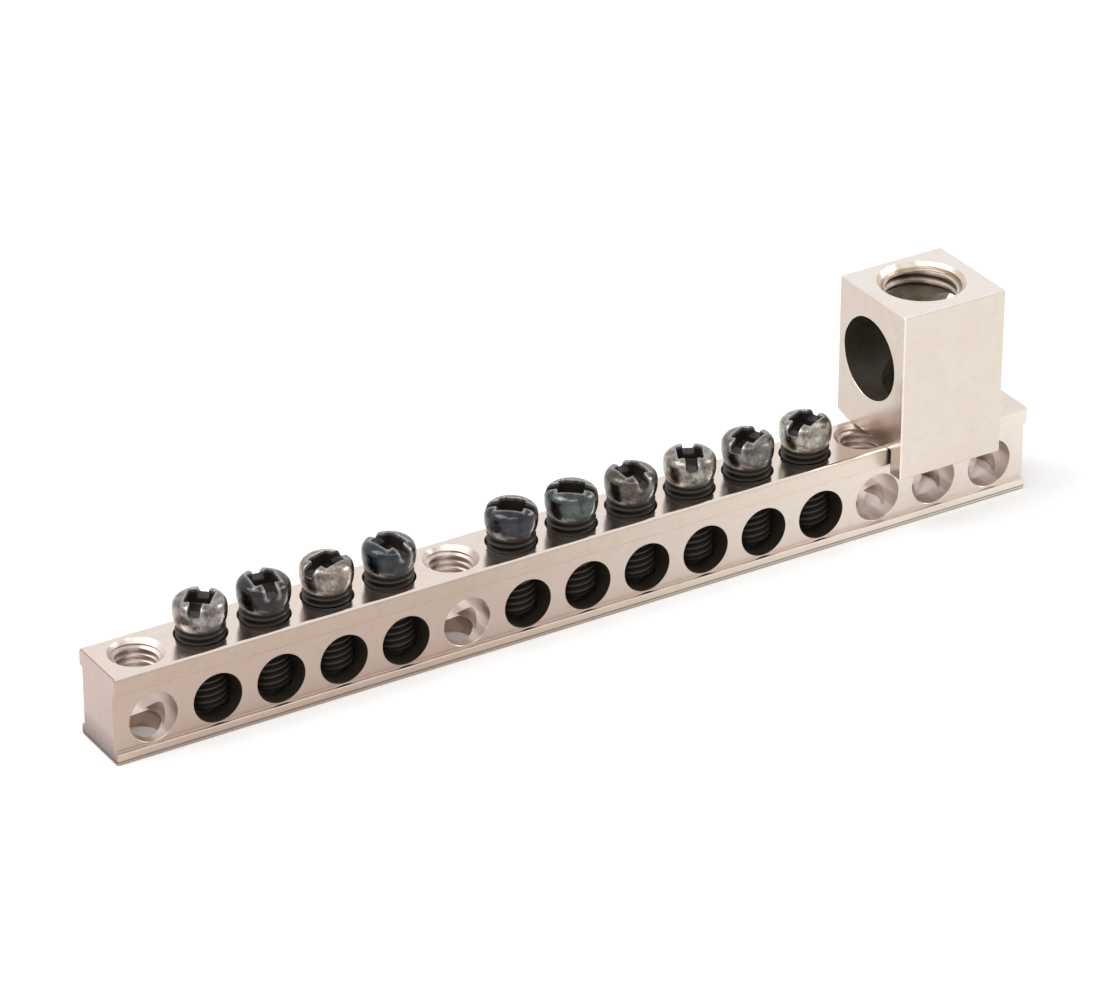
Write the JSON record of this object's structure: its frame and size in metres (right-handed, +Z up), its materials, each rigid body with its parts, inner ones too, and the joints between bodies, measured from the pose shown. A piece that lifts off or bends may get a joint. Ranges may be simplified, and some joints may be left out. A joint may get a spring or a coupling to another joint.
{
  "type": "earth terminal bar",
  "caption": "Extruded metal earth bar with a row of cross holes for conductors, domed clamping screws over them and one large lug on its end.",
  "frame": {"origin": "centre of the bar's flat underside", "axes": "+X along the bar towards the lug, -Y out of the front face that the lug's leg covers, +Z up out of the screw heads"},
  "size_m": [0.1356, 0.0148, 0.0324],
  "materials": {
    "bar": "satin, tin-plated, drawn along its length",
    "lug": "satin, tin-plated",
    "plain_screw": "zinc-plated",
    "terminal_screw": "blackened and oiled"
  },
  "bodies": {
    "bar": {"terminal_bar": "bar", "lug": "lug", "lug_fixing_screw": "plain_screw"},
    "terminal_screw_01": {"terminal_screw_01": "terminal_screw"},
    "terminal_screw_02": {"terminal_screw_02": "terminal_screw"},
    "terminal_screw_03": {"terminal_screw_03": "terminal_screw"},
    "terminal_screw_04": {"terminal_screw_04": "terminal_screw"},
    "terminal_screw_05": {"terminal_screw_05": "terminal_screw"},
    "terminal_screw_06": {"terminal_screw_06": "terminal_screw"},
    "terminal_screw_07": {"terminal_screw_07": "terminal_screw"},
    "terminal_screw_08": {"terminal_screw_08": "terminal_screw"},
    "terminal_screw_09": {"terminal_screw_09": "terminal_screw"},
    "terminal_screw_10": {"terminal_screw_10": "terminal_screw"}
  },
  "joints": [
    {"name": "terminal_screw_01_travel", "type": "slide", "parent": "bar", "child": "terminal_screw_01", "axis": [0, 0, 1], "range_m": [0, 0.0058]},
    {"name": "terminal_screw_02_travel", "type": "slide", "parent": "bar", "child": "terminal_screw_02", "axis": [0, 0, 1], "range_m": [0, 0.0058]},
    {"name": "terminal_screw_03_travel", "type": "slide", "parent": "bar", "child": "terminal_screw_03", "axis": [0, 0, 1], "range_m": [0, 0.0058]},
    {"name": "terminal_screw_04_travel", "type": "slide", "parent": "bar", "child": "terminal_screw_04", "axis": [0, 0, 1], "range_m": [0, 0.0058]},
    {"name": "terminal_screw_05_travel", "type": "slide", "parent": "bar", "child": "terminal_screw_05", "axis": [0, 0, 1], "range_m": [0, 0.0058]},
    {"name": "terminal_screw_06_travel", "type": "slide", "parent": "bar", "child": "terminal_screw_06", "axis": [0, 0, 1], "range_m": [0, 0.0058]},
    {"name": "terminal_screw_07_travel", "type": "slide", "parent": "bar", "child": "terminal_screw_07", "axis": [0, 0, 1], "range_m": [0, 0.0058]},
    {"name": "terminal_screw_08_travel", "type": "slide", "parent": "bar", "child": "terminal_screw_08", "axis": [0, 0, 1], "range_m": [0, 0.0058]},
    {"name": "terminal_screw_09_travel", "type": "slide", "parent": "bar", "child": "terminal_screw_09", "axis": [0, 0, 1], "range_m": [0, 0.0058]},
    {"name": "terminal_screw_10_travel", "type": "slide", "parent": "bar", "child": "terminal_screw_10", "axis": [0, 0, 1], "range_m": [0, 0.0058]}
  ]
}
